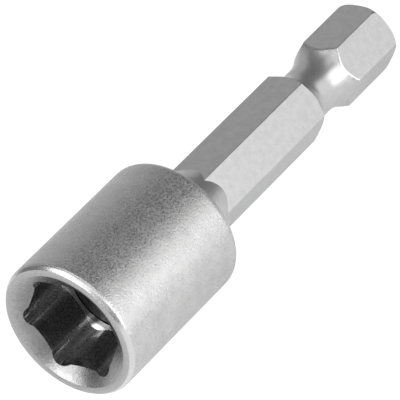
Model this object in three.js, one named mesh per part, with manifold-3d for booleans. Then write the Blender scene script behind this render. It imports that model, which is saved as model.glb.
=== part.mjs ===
// Magnetic nut setter: a socket sleeve pressed onto a quarter-inch hex shank, with a disc magnet
// behind the sleeve's lobed hex recess. Millimetres, +Z up. The tool's axis is Y: the mouth of the
// socket faces -Y, the shank points to +Y, and the origin is the centre of the shank's end face.
import * as THREE from "three";
import { mergeVertices } from "three/addons/utils/BufferGeometryUtils.js";
import Module from "manifold-3d";

// Hex recess: flats for an 11/32 inch head, with a round lobe in place of each sharp corner
const HEAD_ACROSS_FLATS = 8.73;
const HEAD_CLEARANCE = 0.07; // across flats
const RECESS_DEPTH = 6.1; // to the magnet's face
const RECESS_FLOOR_ANGLE = 150; // included angle of the sloping ledge round the magnet, degrees
const LOBE_RADIUS = 1.1;
const LOBE_REACH = 0.02; // how far a lobe goes past the hexagon's sharp corner
const LOBE_BLEND = 0.4; // radius of the edge between a lobe and a flat

// Socket sleeve: a turned body with one bore from the recess to its rear face
const SLEEVE_WALL = 1.65; // outside the lobes or the bore, whichever is wider
const MOUTH_CHAMFER_RADIAL = 0.3;
const MOUTH_CHAMFER_AXIAL = 0.42;
const MOUTH_LAND = 0.6; // width of the flat ring between the chamfer and the funnel
const FUNNEL_ANGLE = 118; // included angle of the lead-in cone, degrees
const REAR_ROUND = 0.95;
const BORE_LEAD_IN = 0.3; // chamfer at the rear end of the bore

// Disc magnet, bonded in the bore with its face level with the recess floor
const MAGNET_DIAMETER = 8;
const MAGNET_LENGTH = 3;
const MAGNET_CLEARANCE = 0.05; // radial, filled by the bond
const MAGNET_CHAMFER = 0.2;

// Spigot of the shank, which is knurled and fills the bore behind the magnet
const SPIGOT_LENGTH = 7.4;
const SPIGOT_CLEARANCE = 0.05; // radial, none on the real press fit
const SPIGOT_PILOT = 1.2; // plain length in front of the knurl
const SPIGOT_CHAMFER = 0.3;
const KNURL_PITCH = 1.05;
const KNURL_DEPTH = 0.2;

// Conical root of the shank, whose base is the shoulder that seats on the sleeve's rear face
const SHOULDER_WIDTH = 0.8; // radial, from the bore outward
const ROOT_HALF_ANGLE = 23; // degrees

// Hex drive with a turned detent groove and a rounded end
const SHANK_LENGTH = 31.1; // from the sleeve's rear face to the shank's end
const SHANK_ACROSS_FLATS = 6.35;
const CORNER_BREAK = 0.03; // how much the hexagon's corners are turned down
const END_ROUND_RADIAL = 0.63;
const END_ROUND_AXIAL = 0.83;
const GROOVE_FROM_END = 10.15; // from the shank's end to the middle of the groove's floor
const GROOVE_DEPTH = 1.09; // below the hexagon's corners
const GROOVE_FLOOR_LENGTH = 0.9;
const GROOVE_SOCKET_SIDE_RADIUS = 2.4;
const GROOVE_END_SIDE_RADIUS = 4.4;

// Fineness of the facets, and how far cutters and joined solids run past a face
const ROUND_SEGMENTS = 72;
const ARC_STEPS = 8;
const OVERRUN = 0.5;

const radians = THREE.MathUtils.degToRad;
const HEX_CORNER = 1 / Math.cos(radians(30)); // corner radius of a hexagon per unit of flat radius

// Radii that follow from the sizes above
const recessFlat = (HEAD_ACROSS_FLATS + HEAD_CLEARANCE) / 2;
const lobeTip = recessFlat * HEX_CORNER + LOBE_REACH;
const magnetRadius = MAGNET_DIAMETER / 2;
const boreRadius = magnetRadius + MAGNET_CLEARANCE;
const sleeveRadius = Math.max(lobeTip, boreRadius) + SLEEVE_WALL;
const shankFlat = SHANK_ACROSS_FLATS / 2;
const shankCorner = shankFlat * HEX_CORNER - CORNER_BREAK;

// Stations along the axis, measured from the mouth
const magnetBack = RECESS_DEPTH + MAGNET_LENGTH;
const sleeveBack = magnetBack + SPIGOT_LENGTH;
const shankEnd = sleeveBack + SHANK_LENGTH;

const wasm = await Module();
wasm.setup();

// A closed three.js geometry as a solid that can be joined and cut.
function solidOf(geometry) {
  const bare = geometry.clone();
  bare.deleteAttribute("normal");
  bare.deleteAttribute("uv");
  const merged = mergeVertices(bare, 1e-4);
  const vertProperties = merged.attributes.position.array;
  const triVerts = new Uint32Array(merged.index.array);
  return new wasm.Manifold(new wasm.Mesh({ numProp: 3, vertProperties, triVerts }));
}

// A solid turned about the tool's axis, from [radius, station] points that run up the outside.
function turned(profile) {
  const points = profile.map(([radius, station]) => new THREE.Vector2(radius, station));
  return solidOf(new THREE.LatheGeometry(points, ROUND_SEGMENTS));
}

// A prism along the tool's axis between two stations.
function prism(shape, from, to) {
  const options = { depth: to - from, bevelEnabled: false, curveSegments: ARC_STEPS };
  const geometry = new THREE.ExtrudeGeometry(shape, options);
  return solidOf(geometry.rotateX(-Math.PI / 2).translate(0, from, 0));
}

// Points of an elliptic arc in a turned profile, angles in degrees from the radial direction.
function arc(radius, station, radialSize, axialSize, from, to) {
  return Array.from({ length: ARC_STEPS + 1 }, (_, step) => {
    const angle = radians(from + ((to - from) * step) / ARC_STEPS);
    return [radius + radialSize * Math.cos(angle), station + axialSize * Math.sin(angle)];
  });
}

// A closed outline through points given as [angle, radius].
function polarShape(corners) {
  const points = corners.map(([angle, radius]) => {
    return new THREE.Vector2(radius * Math.cos(angle), radius * Math.sin(angle));
  });
  return new THREE.Shape(points);
}

// A regular hexagon with two corners on the X axis.
function hexagon(flatRadius) {
  const corners = [0, 60, 120, 180, 240, 300];
  return polarShape(corners.map((angle) => [radians(angle), flatRadius * HEX_CORNER]));
}

// The recess outline: six flats joined by round lobes, each lobe blended into its two flats.
// A blend arc has its centre in the steel: it touches the flat and the lobe's circle from outside.
function lobedHexagon() {
  const lobeCentre = lobeTip - LOBE_RADIUS;
  const blendOut = recessFlat + LOBE_BLEND; // blend centre, at right angles to its flat
  const gapOut = blendOut - lobeCentre * Math.cos(radians(30));
  const gapAlong = Math.sqrt((LOBE_BLEND + LOBE_RADIUS) ** 2 - gapOut ** 2);
  const blendAlong = lobeCentre * Math.sin(radians(30)) - gapAlong; // and along its flat
  const blendReach = Math.hypot(blendOut, blendAlong);
  const blendTurn = Math.atan2(blendAlong, blendOut);
  const contact = Math.atan2(gapAlong, -gapOut); // from blend centre to lobe centre
  const shape = new THREE.Shape();
  for (let side = 0; side < 6; side++) {
    const flat = radians(30 + 60 * side);
    const lobe = flat + radians(30);
    const nextFlat = flat + radians(60);
    const first = flat + blendTurn;
    const second = nextFlat - blendTurn;
    shape.absarc(blendReach * Math.cos(first), blendReach * Math.sin(first),
      LOBE_BLEND, flat + Math.PI, flat + contact, true);
    shape.absarc(lobeCentre * Math.cos(lobe), lobeCentre * Math.sin(lobe),
      LOBE_RADIUS, flat + contact - Math.PI, nextFlat + Math.PI - contact, false);
    shape.absarc(blendReach * Math.cos(second), blendReach * Math.sin(second),
      LOBE_BLEND, nextFlat - contact, nextFlat - Math.PI, true);
  }
  shape.closePath();
  return shape;
}

// A ring of straight knurl teeth with flat crests.
function knurlRing(crest, root) {
  const teeth = Math.round((2 * Math.PI * crest) / KNURL_PITCH);
  const turn = (2 * Math.PI) / teeth;
  const tooth = [[0.1, root], [0.35, crest], [0.65, crest], [0.9, root]]; // share of a turn, radius
  const ring = Array.from({ length: teeth }, (_, index) => {
    return tooth.map(([share, radius]) => [turn * (index + share), radius]);
  });
  return polarShape(ring.flat());
}

function socketSleeve() {
  const landOuter = sleeveRadius - MOUTH_CHAMFER_RADIAL;
  const landInner = landOuter - MOUTH_LAND;
  const body = turned([
    [0, 0],
    [landOuter, 0],
    [sleeveRadius, MOUTH_CHAMFER_AXIAL],
    ...arc(sleeveRadius - REAR_ROUND, sleeveBack - REAR_ROUND, REAR_ROUND, REAR_ROUND, 0, 90),
    [0, sleeveBack],
  ]);
  const slope = Math.tan(radians(FUNNEL_ANGLE / 2));
  const funnel = turned([
    [0, -OVERRUN],
    [landInner + OVERRUN * slope, -OVERRUN],
    [0, landInner / slope],
  ]);
  const ledgeRise = (sleeveRadius - boreRadius) / Math.tan(radians(RECESS_FLOOR_ANGLE / 2));
  const ledgeLimit = turned([
    [0, -OVERRUN],
    [sleeveRadius, -OVERRUN],
    [sleeveRadius, RECESS_DEPTH - ledgeRise],
    [boreRadius, RECESS_DEPTH],
    [0, RECESS_DEPTH],
  ]);
  const recess = prism(lobedHexagon(), -OVERRUN, RECESS_DEPTH).intersect(ledgeLimit);
  const bore = turned([
    [0, RECESS_DEPTH],
    [boreRadius, RECESS_DEPTH],
    [boreRadius, sleeveBack - BORE_LEAD_IN],
    [boreRadius + BORE_LEAD_IN + OVERRUN, sleeveBack + OVERRUN],
    [0, sleeveBack + OVERRUN],
  ]);
  return body.subtract(funnel).subtract(recess).subtract(bore);
}

function magnet() {
  return turned([
    [0, RECESS_DEPTH],
    [magnetRadius - MAGNET_CHAMFER, RECESS_DEPTH],
    [magnetRadius, RECESS_DEPTH + MAGNET_CHAMFER],
    [magnetRadius, magnetBack - MAGNET_CHAMFER],
    [magnetRadius - MAGNET_CHAMFER, magnetBack],
    [0, magnetBack],
  ]);
}

// The turned shape that limits the hex bar: corners turned down, the detent groove, the round end.
function shankEnvelope(from) {
  const floor = shankCorner - GROOVE_DEPTH;
  const middle = shankEnd - GROOVE_FROM_END;
  const grooveSide = (radius, direction) => {
    const station = middle + (direction * GROOVE_FLOOR_LENGTH) / 2;
    const sweep = THREE.MathUtils.radToDeg(Math.acos(1 - GROOVE_DEPTH / radius));
    return arc(floor + radius, station, radius, direction * radius, 180 - sweep, 180);
  };
  return turned([
    [0, from],
    [shankCorner, from],
    ...grooveSide(GROOVE_SOCKET_SIDE_RADIUS, -1),
    ...grooveSide(GROOVE_END_SIDE_RADIUS, 1).reverse(),
    ...arc(shankCorner - END_ROUND_RADIAL, shankEnd - END_ROUND_AXIAL,
      END_ROUND_RADIAL, END_ROUND_AXIAL, 0, 90),
    [0, shankEnd],
  ]);
}

function hexShank() {
  const crest = boreRadius - SPIGOT_CLEARANCE;
  const root = crest - KNURL_DEPTH;
  const shoulder = boreRadius + SHOULDER_WIDTH;
  const tip = shankFlat / 2; // the cone ends inside the hexagon
  const stem = turned([
    [0, magnetBack],
    [root - SPIGOT_CHAMFER, magnetBack],
    [root, magnetBack + SPIGOT_CHAMFER],
    [root, sleeveBack],
    [shoulder, sleeveBack],
    [tip, sleeveBack + (shoulder - tip) / Math.tan(radians(ROOT_HALF_ANGLE))],
    [0, sleeveBack + (shoulder - tip) / Math.tan(radians(ROOT_HALF_ANGLE))],
  ]);
  const knurl = prism(knurlRing(crest, root - KNURL_DEPTH), magnetBack + SPIGOT_PILOT, sleeveBack);
  const barStart = sleeveBack + OVERRUN; // inside the cone
  const bar = prism(hexagon(shankFlat), barStart, shankEnd + OVERRUN);
  return stem.add(knurl).add(bar.intersect(shankEnvelope(barStart)));
}

// A named mesh of one piece in its finish, moved so that the shank's end is the origin.
function piece(name, solid, color, roughness) {
  const { vertProperties, triVerts } = solid.getMesh();
  const geometry = new THREE.BufferGeometry();
  geometry.setAttribute("position", new THREE.BufferAttribute(vertProperties, 3));
  geometry.setIndex(new THREE.BufferAttribute(triVerts, 1));
  geometry.computeVertexNormals();
  const material = new THREE.MeshStandardMaterial({ color, roughness, metalness: 1 });
  const mesh = new THREE.Mesh(geometry, material);
  mesh.name = name;
  mesh.position.y = -shankEnd;
  return mesh;
}

const nutSetter = new THREE.Group();
nutSetter.add(piece("socket_sleeve", socketSleeve(), 0xb4b5b6, 0.5));
nutSetter.add(piece("hex_shank", hexShank(), 0xbebfc0, 0.4));
nutSetter.add(piece("magnet", magnet(), 0x8e8f91, 0.25));

export default nutSetter;
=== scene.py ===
"""Looks of the magnetic nut setter: a sand-blasted socket sleeve on a satin hex shank, with a disc
magnet at the bottom of the recess. Pieces are modelled in millimetres from the mouth, with the
tool's axis on Y, and are then brought to metres in the part's frame."""
from math import acos, atan2, cos, hypot, pi, radians, sin, sqrt, tan

import bpy
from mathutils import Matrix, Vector


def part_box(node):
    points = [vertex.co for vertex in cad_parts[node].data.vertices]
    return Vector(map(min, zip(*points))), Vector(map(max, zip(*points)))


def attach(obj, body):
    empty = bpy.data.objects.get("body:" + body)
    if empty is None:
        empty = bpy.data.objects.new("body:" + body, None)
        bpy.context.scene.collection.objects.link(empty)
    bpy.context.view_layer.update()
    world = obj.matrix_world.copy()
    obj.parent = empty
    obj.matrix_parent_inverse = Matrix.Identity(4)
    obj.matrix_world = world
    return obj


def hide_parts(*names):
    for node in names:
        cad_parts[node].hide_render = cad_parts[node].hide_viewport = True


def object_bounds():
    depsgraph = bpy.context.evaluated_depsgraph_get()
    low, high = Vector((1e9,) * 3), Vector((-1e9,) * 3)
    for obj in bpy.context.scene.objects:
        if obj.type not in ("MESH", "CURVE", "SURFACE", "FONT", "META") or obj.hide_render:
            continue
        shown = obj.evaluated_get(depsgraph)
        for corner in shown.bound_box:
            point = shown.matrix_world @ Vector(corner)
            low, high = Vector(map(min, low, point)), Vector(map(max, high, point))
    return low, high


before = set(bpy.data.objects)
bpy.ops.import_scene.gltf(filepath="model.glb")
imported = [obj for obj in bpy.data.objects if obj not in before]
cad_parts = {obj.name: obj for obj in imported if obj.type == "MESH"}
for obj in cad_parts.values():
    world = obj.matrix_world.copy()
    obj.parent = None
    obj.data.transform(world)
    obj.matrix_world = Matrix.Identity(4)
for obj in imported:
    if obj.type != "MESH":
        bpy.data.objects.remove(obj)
cad_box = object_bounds()

# Sizes in millimetres, with stations along the axis from the mouth; first those that the frame shows

MM = 0.001
MOUTH = cad_box[0].y  # metres


def reach(node):
    """The radius of a CAD node, and its first and last station."""
    low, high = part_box(node)
    return high.x / MM, (low.y - MOUTH) / MM, (high.y - MOUTH) / MM


SLEEVE_RADIUS, _, SLEEVE_BACK = reach("socket_sleeve")
MAGNET_RADIUS, RECESS_DEPTH, MAGNET_BACK = reach("magnet")
SHOULDER_RADIUS, SPIGOT_FRONT, TOOL_LENGTH = reach("hex_shank")
HEX_CORNER = 1 / cos(radians(30))  # corner radius of a hexagon per unit of flat radius

# Recess and sleeve
RECESS_FLAT = 4.4  # from the axis to a flat
LOBE_RADIUS = 1.1
LOBE_BLEND = 0.4  # radius of the edge between a lobe and a flat
LOBE_RELIEF = 0.02  # how far a lobe reaches past the sharp corner of the hexagon
LOBE_TIP = RECESS_FLAT * HEX_CORNER + LOBE_RELIEF
MAGNET_GAP = 0.05
BORE_RADIUS = MAGNET_RADIUS + MAGNET_GAP
BORE_LEAD_IN = 0.3
CHAMFER_RADIAL = 0.3
CHAMFER_AXIAL = 0.42
CHAMFER_ROUND = 0.2  # where the chamfer meets the side
LAND_WIDTH = 0.6  # of the flat ring at the mouth
LAND_OUT = SLEEVE_RADIUS - CHAMFER_RADIAL
LAND_IN = LAND_OUT - LAND_WIDTH
LAND_OUT_ROUND = 0.06
LAND_IN_ROUND = 0.05
FUNNEL_SLOPE = tan(radians(59))  # radius per station
LEDGE_SLOPE = tan(radians(75))
REAR_ROUND = 0.95
OVERRUN = 1  # how far a cutter starts before the mouth

# Shank
SHANK_FLAT = 3.175  # from the axis to a flat
CORNER_BREAK = 0.03  # from a sharp corner in to where the groove's depth and the end round begin
SHANK_CORNER = SHANK_FLAT * HEX_CORNER - CORNER_BREAK
BAR_RADIUS = 3.8  # of the round bar before its flats are milled
BAR_FRONT = SLEEVE_BACK + 1.5  # inside the conical root
GROOVE_DEPTH = 1.09
GROOVE_FLOOR = SHANK_CORNER - GROOVE_DEPTH  # radius
GROOVE_FROM_END = 10.15  # to the middle of the groove's straight floor
GROOVE_FLOOR_LENGTH = 0.9
GROOVE_START = TOOL_LENGTH - GROOVE_FROM_END - GROOVE_FLOOR_LENGTH / 2
GROOVE_END = GROOVE_START + GROOVE_FLOOR_LENGTH
GROOVE_SOCKET_SIDE = 2.4  # radii of the groove's two sides
GROOVE_END_SIDE = 4.4
END_ROUND_RADIAL = 0.63
END_ROUND_AXIAL = 0.83
END_LEAD = 1.1  # length over which the bar narrows to its end
EDGE_BREAK = 0.05
GROOVE_EDGE_BREAK = 0.13  # where the groove runs out towards the end
SPIGOT_RADIUS = 3.8
SPIGOT_CHAMFER = 0.3
ROOT_SLOPE = tan(radians(23))
ROOT_TIP = 1.6  # radius at which the cone ends inside the hexagon
KNURL_TEETH = 24
KNURL_FRONT = SPIGOT_FRONT + 1.2
KNURL_BACK = SLEEVE_BACK + 0.3  # inside the shoulder
KNURL_CREST = 4.0
KNURL_ROOT = 3.6
MAGNET_EDGE = 0.2

# Fineness of the meshes
ROUND = 192  # segments of a full turn
END_STEPS = 10  # segments of the end round
SHARP = radians(11)  # faces of the bar that turn by more meet in an edge to break
SAME_PLACE = 0.0001  # vertices nearer than this are one


# Modelling helpers

def pick(piece, chosen, kind="VERT"):
    """Selects the vertices or faces of a piece that pass a test, and leaves it in edit mode."""
    bpy.ops.object.mode_set(mode="EDIT")
    bpy.ops.mesh.select_mode(type=kind)
    bpy.ops.mesh.select_all(action="DESELECT")
    bpy.ops.object.mode_set(mode="OBJECT")
    parts = piece.data.vertices if kind == "VERT" else piece.data.polygons
    for part in parts:
        part.select = chosen(part)
    bpy.ops.object.mode_set(mode="EDIT")


def start_profile(name, x, y, z=0):
    """A new piece of one vertex, in edit mode."""
    bpy.ops.object.select_all(action="DESELECT")
    bpy.ops.mesh.primitive_plane_add(size=1)
    piece = bpy.context.object
    piece.name = piece.data.name = name
    bpy.ops.object.mode_set(mode="EDIT")
    bpy.ops.mesh.select_mode(type="VERT")
    bpy.ops.mesh.merge(type="CENTER")
    bpy.ops.transform.translate(value=(x, y, z))
    return piece


def draw_to(corners):
    """Extrudes the selected vertex from corner to corner."""
    for (x0, y0), (x1, y1) in zip(corners, corners[1:]):
        step = (x1 - x0, y1 - y0, 0)
        bpy.ops.mesh.extrude_region_move(TRANSFORM_OT_translate={"value": step})


def spin_profile():
    """Turns the drawn profile once round the tool's axis."""
    bpy.ops.mesh.select_all(action="SELECT")
    bpy.ops.mesh.spin(steps=ROUND, angle=2 * pi, center=(0, 0, 0), axis=(0, 1, 0))
    bpy.ops.mesh.select_all(action="SELECT")
    bpy.ops.mesh.remove_doubles(threshold=SAME_PLACE)
    bpy.ops.mesh.normals_make_consistent(inside=False)
    bpy.ops.object.mode_set(mode="OBJECT")


def turned(name, corners, rounds=(), closed=False):
    """A piece turned from a profile of (radius, station) corners, some of them rounded.

    It stands turned by half a segment, so that none of its edges meets the middle of a flat or a
    corner of a hexagon."""
    piece = start_profile(name, *corners[0])
    draw_to(corners)
    if closed:
        pick(piece, lambda v: v.index in (0, len(corners) - 1))
        bpy.ops.mesh.edge_face_add()
    for (radius, station), size, segments in rounds:
        pick(piece, lambda v: hypot(v.co.x - radius, v.co.y - station) < SAME_PLACE)
        bpy.ops.mesh.bevel(offset=size, segments=segments, affect="VERTICES", clamp_overlap=False)
    spin_profile()
    piece.rotation_euler.y = pi / ROUND
    bpy.ops.object.transform_apply(location=False, rotation=True, scale=False)
    return piece


def rod(name, sides, radius, start, end):
    """A straight prism round the tool's axis between two stations."""
    bpy.ops.object.select_all(action="DESELECT")
    bpy.ops.mesh.primitive_cylinder_add(
        vertices=sides, radius=radius, depth=end - start,
        location=(0, (start + end) / 2, 0), rotation=(pi / 2, 0, 0))
    piece = bpy.context.object
    piece.name = piece.data.name = name
    bpy.ops.object.transform_apply(location=True, rotation=True, scale=True)
    return piece


def take_up(piece):
    """Makes a piece the only selected one, and the active one."""
    bpy.ops.object.select_all(action="DESELECT")
    bpy.context.view_layer.objects.active = piece
    piece.select_set(True)


def apply_modifier(piece, kind, **settings):
    """Gives a piece a modifier with these settings and applies it."""
    take_up(piece)
    modifier = piece.modifiers.new(kind.lower(), kind)
    for name, value in settings.items():
        setattr(modifier, name, value)
    bpy.ops.object.modifier_apply(modifier=modifier.name)


def combine(piece, other, operation):
    """Joins, cuts or limits a piece by another one, which is then removed."""
    apply_modifier(piece, "BOOLEAN", object=other, operation=operation, solver="EXACT")
    bpy.data.objects.remove(other)


def finish_piece(piece, node, material, smooth):
    """Shades a piece, brings it to metres in the part's frame and puts it in its node's place."""
    take_up(piece)
    bpy.ops.object.shade_smooth_by_angle(angle=radians(smooth))
    apply_modifier(piece, "WEIGHTED_NORMAL", keep_sharp=True, weight=80)
    piece.location = (0, MOUTH, 0)
    piece.scale = (MM, MM, MM)
    bpy.ops.object.transform_apply(location=True, rotation=True, scale=True)
    piece.data.materials.clear()
    piece.data.materials.append(material)
    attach(piece, "root")
    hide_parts(node)


# Socket sleeve

def recess_cutter():
    """The lobed hexagon of the recess as a prism along the axis.

    Half of one side is drawn from the middle of its flat to the tip of a lobe, then mirrored and
    set round the axis."""
    front = -OVERRUN
    lobe_centre = LOBE_TIP - LOBE_RADIUS
    blend_out = RECESS_FLAT + LOBE_BLEND  # the blend's centre, at right angles to its flat
    gap_out = blend_out - lobe_centre * cos(radians(30))
    gap_along = sqrt((LOBE_BLEND + LOBE_RADIUS) ** 2 - gap_out ** 2)
    blend_along = lobe_centre * sin(radians(30)) - gap_along
    blend_turn = atan2(gap_along, gap_out)
    lobe = (lobe_centre * sin(radians(30)), front, lobe_centre * cos(radians(30)))
    piece = start_profile("recess_cutter", 0, front, RECESS_FLAT)
    bpy.ops.mesh.extrude_region_move(TRANSFORM_OT_translate={"value": (blend_along, 0, 0)})
    bpy.ops.mesh.spin(steps=5, angle=blend_turn, center=(blend_along, front, blend_out), axis=(0, 1, 0))
    bpy.ops.mesh.spin(steps=14, angle=-blend_turn - radians(30), center=lobe, axis=(0, 1, 0))
    bpy.ops.mesh.select_all(action="SELECT")
    bpy.ops.mesh.duplicate()
    bpy.ops.transform.resize(value=(-1, 1, 1), center_override=(0, front, 0))
    bpy.ops.mesh.select_all(action="SELECT")
    bpy.ops.mesh.spin(steps=6, angle=2 * pi, dupli=True, center=(0, front, 0), axis=(0, 1, 0))
    bpy.ops.mesh.select_all(action="SELECT")
    bpy.ops.mesh.remove_doubles(threshold=SAME_PLACE)
    bpy.ops.mesh.edge_face_add()
    depth = (0, RECESS_DEPTH - front, 0)
    bpy.ops.mesh.extrude_region_move(TRANSFORM_OT_translate={"value": depth})
    bpy.ops.mesh.select_all(action="SELECT")
    bpy.ops.mesh.normals_make_consistent(inside=False)
    bpy.ops.object.mode_set(mode="OBJECT")
    return piece


def socket_sleeve():
    """The turned body with its bore and funnel, broached to the lobed recess with a sloping ledge."""
    land_in, land_out = (LAND_IN, 0), (LAND_OUT, 0)
    side, rear = (SLEEVE_RADIUS, CHAMFER_AXIAL), (SLEEVE_RADIUS, SLEEVE_BACK)
    piece = turned(
        "sleeve_body",
        [land_in, land_out, side, rear,
         (BORE_RADIUS + BORE_LEAD_IN, SLEEVE_BACK), (BORE_RADIUS, SLEEVE_BACK - BORE_LEAD_IN),
         (BORE_RADIUS, (LAND_IN - BORE_RADIUS) / FUNNEL_SLOPE)],
        [(land_in, LAND_IN_ROUND, 3), (land_out, LAND_OUT_ROUND, 3),
         (side, CHAMFER_ROUND, 6), (rear, REAR_ROUND, 10)],
        closed=True)
    cutter = recess_cutter()
    ledge_out = SLEEVE_RADIUS
    ledge_front = RECESS_DEPTH - (ledge_out - BORE_RADIUS) / LEDGE_SLOPE
    drilled = turned("drilled", [
        (0, -2 * OVERRUN), (ledge_out, -2 * OVERRUN), (ledge_out, ledge_front),
        (BORE_RADIUS, RECESS_DEPTH), (0, RECESS_DEPTH)])
    combine(cutter, drilled, "INTERSECT")
    combine(piece, cutter, "DIFFERENCE")
    return piece


# Hex shank

def break_edges(piece, run_out_start, run_out_end):
    """Rounds the bar's sharp edges, more so where the groove runs out, and not on the end round."""
    bpy.ops.object.mode_set(mode="EDIT")
    bpy.ops.mesh.select_mode(type="EDGE")
    bpy.ops.mesh.select_all(action="DESELECT")
    bpy.ops.mesh.edges_select_sharp(sharpness=SHARP)
    bpy.ops.object.mode_set(mode="OBJECT")
    weights = piece.data.attributes.new("bevel_weight_edge", "FLOAT", "EDGE")
    for edge in piece.data.edges:
        stations = [piece.data.vertices[v].co.y for v in edge.vertices]
        if edge.select and min(stations) < TOOL_LENGTH - END_LEAD:
            runs_out = min(stations) > run_out_start and max(stations) < run_out_end
            weights.data[edge.index].value = 1 if runs_out else EDGE_BREAK / GROOVE_EDGE_BREAK
    apply_modifier(piece, "BEVEL", limit_method="WEIGHT", width=GROOVE_EDGE_BREAK, segments=4,
                   use_clamp_overlap=False)


def hex_bar():
    """The round bar with its groove and rounded end, milled to six flats, with broken edges."""
    rise = BAR_RADIUS - GROOVE_FLOOR
    near_sweep = acos(1 - rise / GROOVE_SOCKET_SIDE)
    far_sweep = acos(1 - rise / GROOVE_END_SIDE)
    near_edge = GROOVE_START - GROOVE_SOCKET_SIDE * sin(near_sweep)
    far_edge = GROOVE_END + GROOVE_END_SIDE * sin(far_sweep)
    near_centre = (GROOVE_FLOOR + GROOVE_SOCKET_SIDE, GROOVE_START, 0)
    far_centre = (GROOVE_FLOOR + GROOVE_END_SIDE, GROOVE_END, 0)
    end_radius, end_station = SHANK_CORNER - END_ROUND_RADIAL, TOOL_LENGTH - END_ROUND_AXIAL
    end_round = [
        (end_radius + END_ROUND_RADIAL * cos(turn), end_station + END_ROUND_AXIAL * sin(turn))
        for turn in (pi / 2 * step / END_STEPS for step in range(END_STEPS + 1))]
    piece = start_profile("shank_body", 0, BAR_FRONT)
    draw_to([(0, BAR_FRONT), (BAR_RADIUS, BAR_FRONT), (BAR_RADIUS, near_edge)])
    bpy.ops.mesh.spin(steps=14, angle=near_sweep, center=near_centre, axis=(0, 0, 1))
    draw_to([(GROOVE_FLOOR, GROOVE_START), (GROOVE_FLOOR, GROOVE_END)])
    # Few steps, so that the flats' edges keep clear of the rings by about the round they get
    bpy.ops.mesh.spin(steps=12, angle=far_sweep, center=far_centre, axis=(0, 0, 1))
    draw_to([(BAR_RADIUS, far_edge), (BAR_RADIUS, TOOL_LENGTH - END_LEAD), *end_round, (0, TOOL_LENGTH)])
    spin_profile()
    bpy.ops.object.mode_set(mode="EDIT")
    for side in range(6):
        turn = radians(30 + 60 * side)
        out = Vector((cos(turn), 0, sin(turn)))
        bpy.ops.mesh.select_all(action="SELECT")
        bpy.ops.mesh.bisect(plane_co=SHANK_FLAT * out, plane_no=out, use_fill=True, clear_outer=True)
    bpy.ops.object.mode_set(mode="OBJECT")
    break_edges(piece, GROOVE_END, far_edge)
    return piece


def knurl_ring():
    """Straight knurl teeth on the spigot, which run a little way into the shoulder."""
    piece = rod("knurl", 2 * KNURL_TEETH, KNURL_CREST, KNURL_FRONT, KNURL_BACK)
    tooth = 2 * pi / KNURL_TEETH
    pick(piece, lambda v: round(atan2(v.co.z, v.co.x) / tooth * 2) % 2 == 1)
    bpy.ops.transform.resize(value=(KNURL_ROOT / KNURL_CREST, 1, KNURL_ROOT / KNURL_CREST),
                             center_override=(0, 0, 0))
    bpy.ops.object.mode_set(mode="OBJECT")
    return piece


def hex_shank():
    """The hex bar on its conical root and knurled spigot."""
    piece = hex_bar()
    root_end = SLEEVE_BACK + (SHOULDER_RADIUS - ROOT_TIP) / ROOT_SLOPE
    stem = turned("stem", [
        (0, SPIGOT_FRONT), (SPIGOT_RADIUS - SPIGOT_CHAMFER, SPIGOT_FRONT),
        (SPIGOT_RADIUS, SPIGOT_FRONT + SPIGOT_CHAMFER), (SPIGOT_RADIUS, SLEEVE_BACK),
        (SHOULDER_RADIUS, SLEEVE_BACK), (ROOT_TIP, root_end), (0, root_end)])
    combine(stem, knurl_ring(), "UNION")
    combine(piece, stem, "UNION")
    return piece


# Magnet

def disc_magnet():
    """A plain disc with rounded edges."""
    piece = rod("magnet_disc", 128, MAGNET_RADIUS, RECESS_DEPTH, MAGNET_BACK)
    pick(piece, lambda face: abs(face.normal.y) > 0.9, "FACE")
    bpy.ops.mesh.bevel(offset=MAGNET_EDGE, segments=4, affect="EDGES")
    bpy.ops.object.mode_set(mode="OBJECT")
    return piece


# Materials

class Wire:
    """A shader socket in Python expressions: every operation on it adds a Math node."""

    def __init__(self, finish, socket):
        self.finish = finish
        self.socket = socket

    def __add__(self, other):
        return self.finish.maths("ADD", self, other)

    def __sub__(self, other):
        return self.finish.maths("SUBTRACT", self, other)

    def __rsub__(self, other):
        return self.finish.maths("SUBTRACT", other, self)

    def __mul__(self, other):
        return self.finish.maths("MULTIPLY", self, other)

    def __truediv__(self, other):
        return self.finish.maths("DIVIDE", self, other)

    def __pow__(self, other):
        return self.finish.maths("POWER", self, other)

    __radd__ = __add__
    __rmul__ = __mul__

    def output(self, name):
        """Another output of the same node."""
        return Wire(self.finish, self.socket.node.outputs[name])


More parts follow.
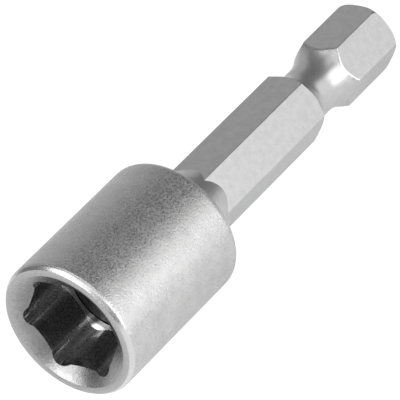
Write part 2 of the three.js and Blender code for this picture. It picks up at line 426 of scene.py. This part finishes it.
class Finish:
    """A node tree under construction, of a material or of the world."""

    def __init__(self, owner):
        self.owner = owner
        owner.use_nodes = True
        self.tree = owner.node_tree
        self.tree.nodes.clear()

    def node(self, kind, settings=None, sockets=None, output=0):
        """Adds a node: its settings first, then the values or links of its sockets."""
        made = self.tree.nodes.new(kind)
        for name, value in (settings or {}).items():
            setattr(made, name, value)
        for name, value in (sockets or {}).items():
            if isinstance(value, Wire):
                self.tree.links.new(value.socket, made.inputs[name])
            else:
                made.inputs[name].default_value = value
        return Wire(self, made.outputs[output]) if made.outputs else None

    def maths(self, operation, first, second=0):
        return self.node("ShaderNodeMath", {"operation": operation}, {0: first, 1: second})

    def ease(self, value, start, end):
        """0 below start, 1 above end, smooth between them."""
        sockets = {"Value": value, "From Min": start, "From Max": end}
        return self.node("ShaderNodeMapRange", {"interpolation_type": "SMOOTHSTEP"}, sockets)

    def blend(self, factor, first, second):
        """A colour between two colours."""
        sockets = {0: factor, 6: first, 7: second}
        return self.node("ShaderNodeMix", {"data_type": "RGBA"}, sockets, output=2)

    def place(self):
        """Object coordinates as millimetres from the mouth."""
        metres = self.node("ShaderNodeTexCoord", output="Object")
        sockets = {"Vector": metres, "Location": (0, -MOUTH / MM, 0), "Scale": (1 / MM, 1 / MM, 1 / MM)}
        return self.node("ShaderNodeMapping", None, sockets)

    def noise(self, place, per_mm, detail=2, coarseness=0.5):
        sockets = {"Vector": place, "Scale": per_mm, "Detail": detail, "Roughness": coarseness}
        return self.node("ShaderNodeTexNoise", None, sockets)

    def split(self, vector):
        """The x, y and z of a vector."""
        parts = self.node("ShaderNodeSeparateXYZ", None, {"Vector": vector})
        return [parts.output(axis) for axis in "XYZ"]

    def metal(self, color, roughness, height, relief):
        """A bare metal whose surface stands up by relief, in metres, where height is 1."""
        normal = self.node("ShaderNodeBump", None, {
            "Height": height, "Strength": 1.0, "Distance": relief})
        shader = self.node("ShaderNodeBsdfPrincipled", None, {
            "Base Color": color, "Metallic": 1.0, "Roughness": roughness, "Normal": normal})
        self.node("ShaderNodeOutputMaterial", None, {"Surface": shader})
        return self.owner


PITS_PER_MM = 7  # of the blasting on the sleeve and the mottle on the shank


def grey(level):
    return (level, level, level, 1)


def blasted_sleeve():
    """Sand-blasted plating outside, a machined mouth and broached walls, with painted shade and light:
    the land and funnel darken towards the axis as painted shade, the chamfer is lightened partly as a
    painted highlight, the recess walls are darkened as painted shade, the lobes are lightened as painted
    light, and the ledge in the lobes carries a painted highlight.

    The blasting shows in the roughness, so it is strongest where a dark reflection turns bright."""
    finish = Finish(bpy.data.materials.new("blasted_sleeve"))
    place = finish.place()
    x, station, z = finish.split(place)
    radius = (x * x + z * z) ** 0.5

    # Where each finish and each painted shade, light and highlight lies, with soft borders
    hollow = 1 - finish.ease(radius, LOBE_TIP + 0.2, LOBE_TIP + 0.3)
    hollow = hollow * (1 - finish.ease(station, MAGNET_BACK - 0.1, MAGNET_BACK))
    past_funnel = station + (radius - LAND_IN) / FUNNEL_SLOPE
    past_ledge = station - RECESS_DEPTH + (radius - BORE_RADIUS) / LEDGE_SLOPE
    wall = hollow * finish.ease(past_funnel, 0.02, 0.09)
    ledge = hollow * finish.ease(past_ledge, -0.035, -0.01)
    lobe = finish.ease(radius, RECESS_FLAT + 0.05, RECESS_FLAT + 0.3)
    barrel = finish.ease(station, CHAMFER_AXIAL + 0.03, CHAMFER_AXIAL + 0.08)
    barrel = barrel * finish.ease(radius, SLEEVE_RADIUS - 0.15, SLEEVE_RADIUS - 0.05)
    mouth = (1 - barrel) * (1 - finish.ease(station, 1.5, 2))
    chamfer = finish.ease(radius, LAND_OUT - 0.05, LAND_OUT + 0.05)
    machined = finish.maths("MAXIMUM", wall, mouth)

    # Grain in three sizes
    pits = finish.noise(place, PITS_PER_MM, coarseness=0.7)
    grain = finish.noise(place, PITS_PER_MM / 2)
    blotch = finish.noise(place, 0.8)

    # Tones, from the plating to the bare ring at the mouth, the walls and the ledge in the lobes; the
    # ring darkens towards the axis as painted shade, its chamfer is lightened partly as a painted
    # highlight, the walls are darkened as painted shade, the lobes are lightened as painted light, and
    # the ledge in the lobes is a painted highlight
    plating = finish.blend(finish.ease(0.7 * pits + 0.3 * blotch, 0.3, 0.7), grey(0.6), grey(0.79))
    # The ring's tone darkens towards the axis, over the land and into the funnel, as painted shade; the
    # grain in it is the machining's own mottle
    bare_and_shaded = finish.blend(finish.ease(radius + 1.2 * grain, 5.2, 7.2), grey(0.3), grey(0.57))
    # The machined chamfer's light tone is partly a painted highlight
    ring = finish.blend(chamfer, bare_and_shaded, grey(0.82))
    # The broached walls' dark tone is painted shade inside the recess, and the lobes' lighter tone is
    # painted light
    recess_painted_shade_and_light = finish.blend(lobe, grey(0.28), grey(0.72))
    tone = finish.blend(mouth, plating, ring)
    tone = finish.blend(wall, tone, recess_painted_shade_and_light)
    # The ledge in the lobes gets a near-white tone as a painted highlight, the glint of the front lamp
    tone = finish.blend(ledge * lobe, tone, grey(0.85))

    # Surface, smoother where it is machined
    blasting = (0.3 * finish.ease(pits, 0.35, 0.65) - 0.15) * (1 - 0.8 * machined)
    roughness = 0.4 + blasting - 0.12 * mouth - 0.12 * wall - 0.1 * ledge
    height = (0.6 * pits + 0.4 * grain) * (1 - 0.7 * machined)
    return finish.metal(tone, roughness, height, relief=0.05 * MM)


def satin_shank():
    """Satin flats with a faint mottle, and a smoother turned groove, end and root."""
    finish = Finish(bpy.data.materials.new("satin_shank"))
    place = finish.place()
    x, _, z = finish.split(place)
    across = [finish.maths("ABSOLUTE", x * sin(turn) + z * cos(turn))
              for turn in (0, radians(60), radians(120))]
    hexagon = finish.maths("MAXIMUM", finish.maths("MAXIMUM", across[0], across[1]), across[2])
    turned_part = 1 - finish.ease(hexagon, SHANK_FLAT - 0.055, SHANK_FLAT - 0.01)
    pits = finish.noise(place, PITS_PER_MM, coarseness=0.6)
    blotch = finish.noise(place, 1.5)
    tone = finish.blend(finish.ease(0.5 * pits + 0.5 * blotch, 0.3, 0.7), grey(0.66), grey(0.76))
    roughness = 0.3 + 0.08 * pits
    height = pits * (1 - 0.7 * turned_part)
    return finish.metal(tone, roughness, height, relief=0.01 * MM)


def shaded_magnet_plating():
    """Nickel plating, darkened as painted shade at the bottom of the recess."""
    finish = Finish(bpy.data.materials.new("shaded_magnet_plating"))
    grain = finish.noise(finish.place(), per_mm=5, detail=3, coarseness=0.6)
    # The nickel's dark tone is painted shade at the bottom of the recess; the grain in it is the
    # plating's own
    tone = finish.blend(grain, grey(0.11), grey(0.16))
    roughness = 0.25 + 0.1 * grain
    return finish.metal(tone, roughness, grain, relief=0.01 * MM)


finish_piece(socket_sleeve(), "socket_sleeve", blasted_sleeve(), smooth=30)
finish_piece(hex_shank(), "hex_shank", satin_shank(), smooth=22)
finish_piece(disc_magnet(), "magnet", shaded_magnet_plating(), smooth=30)

# Camera: a long lens in front of the mouth, above it and to its right

CAMERA_PLACE = (0.198857, -0.243262, 0.195084)  # metres
CAMERA_TURN = (55.597, 11.55, 34.845)  # degrees
LENS_LENGTH = 360  # millimetres, as is the sensor
SENSOR_WIDTH = 36

lens = bpy.data.cameras.new("camera")
lens.lens = LENS_LENGTH
lens.sensor_width = SENSOR_WIDTH
lens.clip_start = 0.01
camera = bpy.data.objects.new("camera", lens)
camera.location = CAMERA_PLACE
camera.rotation_euler = [radians(angle) for angle in CAMERA_TURN]
bpy.context.scene.collection.objects.link(camera)
bpy.context.scene.camera = camera

# Lamps, set round the tool in a dim room, with sizes in metres and angles in degrees

LAMP_DISTANCE = 0.3
LAMP_AIM = Vector((0, -0.026, 0))  # near the middle of the tool


def softbox(name, azimuth, elevation, width, height, brightness):
    """An oval lamp that shows a brightness, where 1 is white. Azimuth 0 is in front of the mouth."""
    turn, lift = radians(azimuth), radians(elevation)
    towards = Vector((sin(turn) * cos(lift), -cos(turn) * cos(lift), sin(lift)))
    lamp = bpy.data.lights.new(name, "AREA")
    lamp.shape = "ELLIPSE"
    lamp.size, lamp.size_y = width, height
    lamp.energy = pi * (pi / 4 * width * height) * brightness
    holder = bpy.data.objects.new(name, lamp)
    holder.location = LAMP_AIM + LAMP_DISTANCE * towards
    holder.rotation_euler = towards.to_track_quat("Z", "Y").to_euler()
    holder.visible_camera = False
    bpy.context.scene.collection.objects.link(holder)


# The bright side: two banks that draw the sleeve's broad highlight, and their fill
softbox("right_low", 97, 5, 0.24, 0.12, 3.2)
softbox("right_high", 98, 29, 0.26, 0.13, 1.85)
softbox("right_rear", 138, 15, 0.16, 0.22, 0.7)
softbox("right_front", 60, 34, 0.14, 0.18, 0.8)
# In front: the glint in the funnel, the spot in the groove and the patch on the ledge
softbox("front_low", -20, 11, 0.13, 0.13, 2.3)
softbox("front_middle", -2, 28, 0.2, 0.18, 2.2)
softbox("front_high", -4, 50, 0.22, 0.12, 0.95)
# Above, and the shaded side
softbox("high_right", 40, 52, 0.16, 0.12, 0.73)
softbox("top_left", -30, 70, 0.16, 0.14, 0.92)
softbox("top_right", 70, 68, 0.22, 0.14, 0.5)
softbox("left_front", -45, 53, 0.15, 0.12, 1.5)
softbox("left_rear", 232, 16, 0.36, 0.3, 0.31)

room = Finish(bpy.data.worlds.new("room"))
bpy.context.scene.world = room.owner
dim = room.node("ShaderNodeBackground", None, {"Color": grey(0.165)})
room.node("ShaderNodeOutputWorld", None, {"Surface": dim})

# Floor

FLOOR_SIZE = 20  # metres
FLOOR_GAP = 0.01 * MM  # under the tool


def paper():
    """White to the camera and pale in the metal, with the tool's own soft shadow on it."""
    finish = Finish(bpy.data.materials.new("paper"))
    path = finish.node("ShaderNodeLightPath")
    seen = path.output("Is Camera Ray") + path.output("Is Transmission Ray")
    mirrored = finish.blend(path.output("Is Glossy Ray"), grey(0), grey(0.26))
    shader = finish.node("ShaderNodeBsdfPrincipled", None, {
        "Base Color": finish.blend(seen, grey(0.8), grey(0.35)),
        "Emission Color": finish.blend(seen, mirrored, grey(0.93)),
        "Emission Strength": 1.0, "Roughness": 1.0, "Specular IOR Level": 0.0})
    finish.node("ShaderNodeOutputMaterial", None, {"Surface": shader})
    return finish.owner


bpy.ops.object.select_all(action="DESELECT")
bpy.ops.mesh.primitive_plane_add(size=FLOOR_SIZE, location=(0, 0, cad_box[0].z - FLOOR_GAP))
floor = bpy.context.object
floor.name = "floor"
floor.data.materials.append(paper())

bpy.context.scene.view_settings.view_transform = "Standard"
